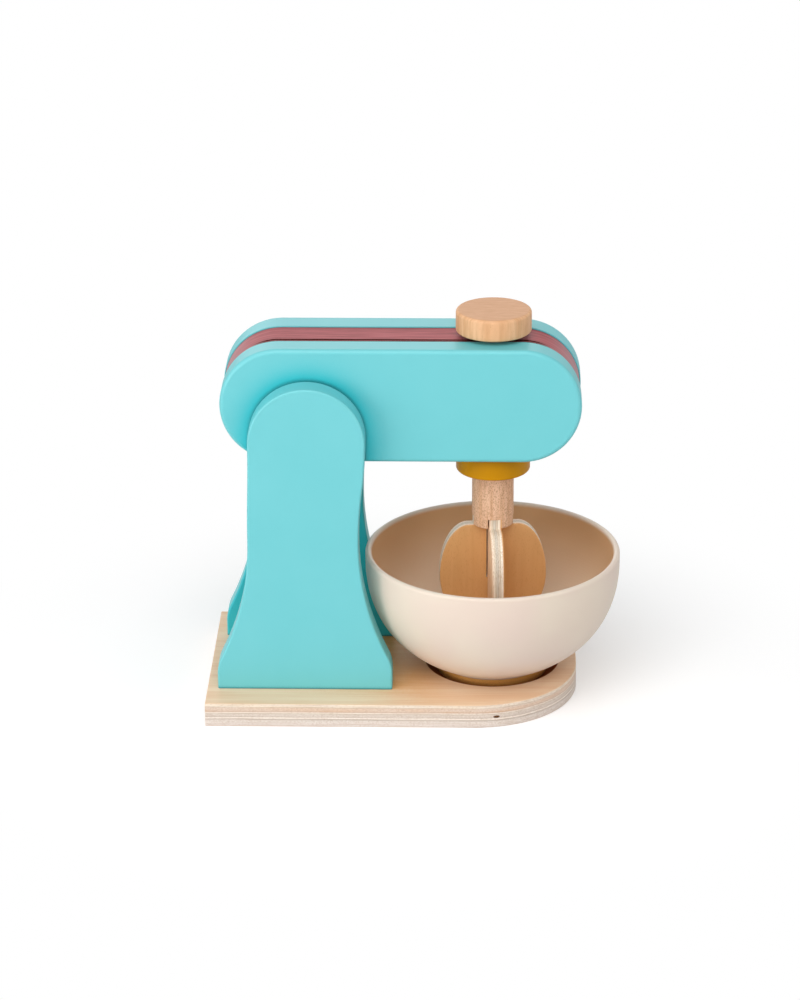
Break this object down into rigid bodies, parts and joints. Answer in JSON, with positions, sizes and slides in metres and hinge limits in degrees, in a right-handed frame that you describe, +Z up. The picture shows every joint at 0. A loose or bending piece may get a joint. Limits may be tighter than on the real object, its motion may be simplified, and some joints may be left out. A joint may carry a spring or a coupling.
{
  "type": "toy stand mixer",
  "caption": "Wooden toy stand mixer: tilting head between two posts, knob-turned crossed-paddle beater, and a round bowl seated in a rounded plywood base.",
  "frame": {"origin": "where the mixing axis meets the underside of the base board", "axes": "+X along the head towards the bowl end, +Y towards the mixer's left side, +Z up along the mixing axis"},
  "size_m": [0.2003, 0.1242, 0.1947],
  "materials": {
    "plywood": "clear-finished birch plywood, satin",
    "teal_paint": "wood painted light teal, satin",
    "mauve_paint": "wood stained dusty mauve, satin",
    "mustard_paint": "wood painted mustard, satin",
    "natural_wood": "clear-finished beech, satin",
    "paddle_plywood": "oiled plywood, satin",
    "cream_paint": "wood painted cream, satin",
    "felt": "dark felt",
    "steel": "zinc-plated steel"
  },
  "bodies": {
    "stand": {"base_board": "plywood", "right_post": "teal_paint", "left_post": "teal_paint", "pivot_dowel": "natural_wood", "stop_dowel": "natural_wood", "pivot_washers": "felt", "post_screws": "steel", "post_dowels": "natural_wood"},
    "head": {"head_right_plate": "teal_paint", "head_left_plate": "teal_paint", "head_core": "mauve_paint", "head_dowels": "natural_wood"},
    "beater": {"knob": "natural_wood", "knob_washer": "felt", "spindle": "natural_wood", "collar": "mustard_paint", "beater_shaft": "natural_wood", "paddle_across": "paddle_plywood", "paddle_cross": "paddle_plywood"},
    "bowl": {"bowl": "cream_paint"}
  },
  "joints": [
    {"name": "head_tilt", "type": "hinge", "parent": "stand", "child": "head", "pos_m": [-0.0884, 0, 0.139], "axis": [0, -1, 0], "range_deg": [0, 55]},
    {"name": "spindle_turn", "type": "hinge", "parent": "head", "child": "beater", "pos_m": [0, 0, 0.139], "axis": [0, 0, 1], "continuous": true},
    {"name": "bowl_lift", "type": "slide", "parent": "stand", "child": "bowl", "axis": [0, 0, 1], "range_m": [0, 0.012]}
  ]
}
